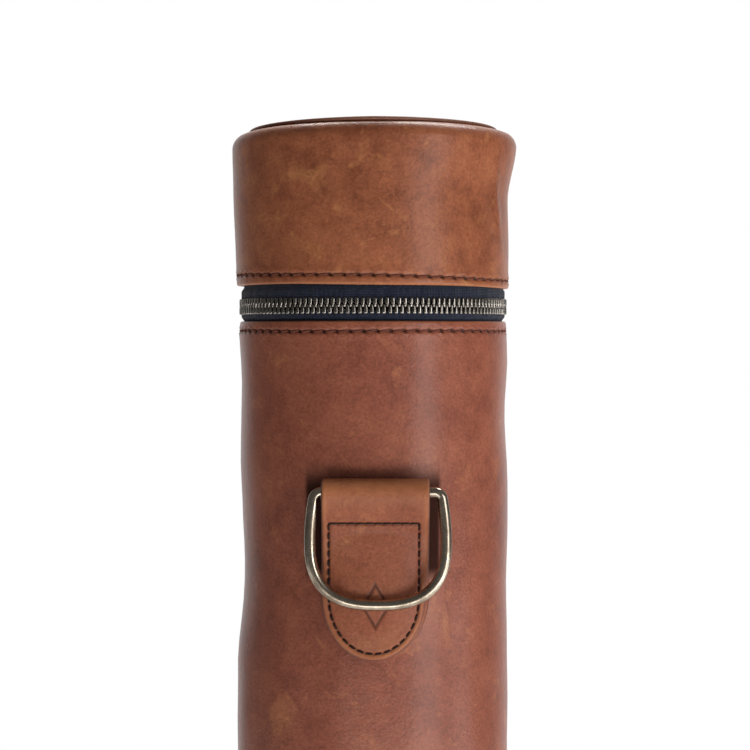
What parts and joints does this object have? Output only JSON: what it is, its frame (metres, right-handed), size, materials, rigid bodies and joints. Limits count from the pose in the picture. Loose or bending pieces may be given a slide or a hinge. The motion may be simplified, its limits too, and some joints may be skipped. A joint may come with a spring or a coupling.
{
  "type": "cue case",
  "caption": "Tall cylindrical leather cue case with a zip-round hinged lid, D-rings in folded leather tabs for a strap, and a padded divider inside.",
  "frame": {"origin": "centre of the flat underside of the base, on the case's axis", "axes": "+Z along the case towards the lid, -Y the front with the D-rings, +Y the back with the hinge, +X to the right seen from the front"},
  "size_m": [0.102, 0.114, 0.812],
  "materials": {
    "leather_body": "satin pull-up leather, reddish brown",
    "leather_lid": "satin pull-up leather, warmer brown",
    "leather_tab": "thick satin leather",
    "fibre_board": "matte stiff fibre board",
    "lining_cloth": "matte brushed lining cloth over foam",
    "zip_tape": "matte woven tape",
    "antique_brass": "polished antique brass",
    "dark_zip_metal": "darkened antique brass"
  },
  "bodies": {
    "case": {"body_leather": "leather_body", "body_core": "fibre_board", "body_lining": "lining_cloth", "base_leather": "leather_body", "base_board": "fibre_board", "base_pad": "lining_cloth", "divider_main": "lining_cloth", "divider_front": "lining_cloth", "divider_back": "lining_cloth", "seam_strip": "leather_body", "hinge_strip": "leather_body", "lower_tape": "zip_tape", "lower_teeth": "dark_zip_metal", "lower_top_stop": "dark_zip_metal", "bottom_stop": "dark_zip_metal", "upper_ring_tab": "leather_tab", "lower_ring_tab": "leather_tab"},
    "lid": {"lid_leather": "leather_lid", "lid_top_leather": "leather_lid", "lid_board": "fibre_board", "lid_core": "fibre_board", "lid_lining": "lining_cloth", "upper_tape": "zip_tape", "upper_teeth": "dark_zip_metal", "upper_top_stop": "dark_zip_metal"},
    "slider": {"slider_body": "dark_zip_metal"},
    "pull": {"pull_tab": "dark_zip_metal"},
    "upper_ring": {"upper_d_ring": "antique_brass"},
    "lower_ring": {"lower_d_ring": "antique_brass"}
  },
  "joints": [
    {"name": "lid_hinge", "type": "hinge", "parent": "case", "child": "lid", "pos_m": [0, 0.052, 0.745], "axis": [-1, 0, 0], "range_deg": [0, 165], "deforming": ["hinge_strip"]},
    {"name": "slider_travel", "type": "hinge", "parent": "case", "child": "slider", "pos_m": [0, 0, 0.745], "axis": [0, 0, -1], "range_deg": [0, 268]},
    {"name": "pull_swing", "type": "hinge", "parent": "slider", "child": "pull", "pos_m": [0.03949, 0.03814, 0.745], "axis": [0.6947, -0.7193, 0], "range_deg": [0, 170]},
    {"name": "upper_ring_swing", "type": "hinge", "parent": "case", "child": "upper_ring", "pos_m": [0.0018, -0.0562, 0.6795], "axis": [-1, 0, 0], "range_deg": [0, 170]},
    {"name": "lower_ring_swing", "type": "hinge", "parent": "case", "child": "lower_ring", "pos_m": [0.0018, -0.0562, 0.25], "axis": [-1, 0, 0], "range_deg": [0, 170]}
  ]
}
